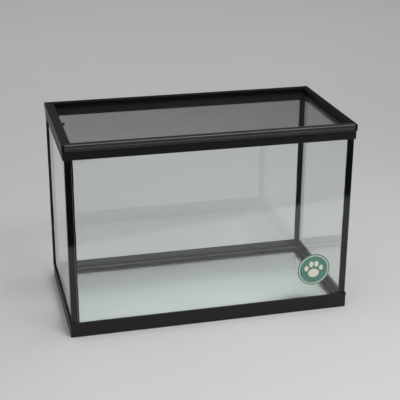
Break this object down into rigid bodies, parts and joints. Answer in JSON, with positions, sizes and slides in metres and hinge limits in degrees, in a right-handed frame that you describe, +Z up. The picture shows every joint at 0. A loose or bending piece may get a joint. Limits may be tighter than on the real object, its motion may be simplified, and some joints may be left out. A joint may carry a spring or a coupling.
{
  "type": "hamster cage",
  "caption": "Glass tank cage for small pets with black moulded frames and a woven-wire screen top that slides out along the tank.",
  "frame": {"origin": "centre of the footprint, on the surface it stands on", "axes": "+X along the length, away from the handle bar; +Y to the back; +Z up"},
  "size_m": [0.414, 0.212, 0.285],
  "materials": {
    "base_plastic": "satin black moulded plastic",
    "rim_plastic": "satin black moulded plastic",
    "track_plastic": "satin black moulded plastic, a little lighter",
    "screen_frame": "matte black plastic",
    "wall_glass": "clear float glass with a slight green tint",
    "floor_glass": "clear float glass with a slight green tint",
    "silicone": "glossy black cured silicone",
    "mesh_wire": "dark coated woven wire",
    "decal_film": "printed paper seal, plain green with a paw",
    "latch_plastic": "matte black plastic"
  },
  "bodies": {
    "tank": {"base_frame": "base_plastic", "floor_pane": "floor_glass", "front_pane": "wall_glass", "back_pane": "wall_glass", "left_pane": "wall_glass", "right_pane": "wall_glass", "front_left_seam": "silicone", "front_right_seam": "silicone", "back_left_seam": "silicone", "back_right_seam": "silicone", "front_floor_seam": "silicone", "back_floor_seam": "silicone", "left_floor_seam": "silicone", "right_floor_seam": "silicone", "top_rim": "rim_plastic", "front_rail": "track_plastic", "back_rail": "track_plastic", "end_rail": "track_plastic", "decal": "decal_film"},
    "screen_top": {"handle_bar": "track_plastic", "lead_bar": "screen_frame", "tail_bar": "screen_frame", "front_side_bar": "screen_frame", "back_side_bar": "screen_frame", "lead_retainer": "screen_frame", "front_retainer": "screen_frame", "back_retainer": "screen_frame", "long_wires": "mesh_wire", "cross_wires": "mesh_wire"},
    "latch": {"latch": "latch_plastic"}
  },
  "joints": [
    {"name": "screen_slide", "type": "slide", "parent": "tank", "child": "screen_top", "axis": [-1, 0, 0], "range_m": [0, 0.37]},
    {"name": "latch_drop", "type": "slide", "parent": "screen_top", "child": "latch", "axis": [0, 0, 1], "range_m": [-0.0032, 0]}
  ]
}
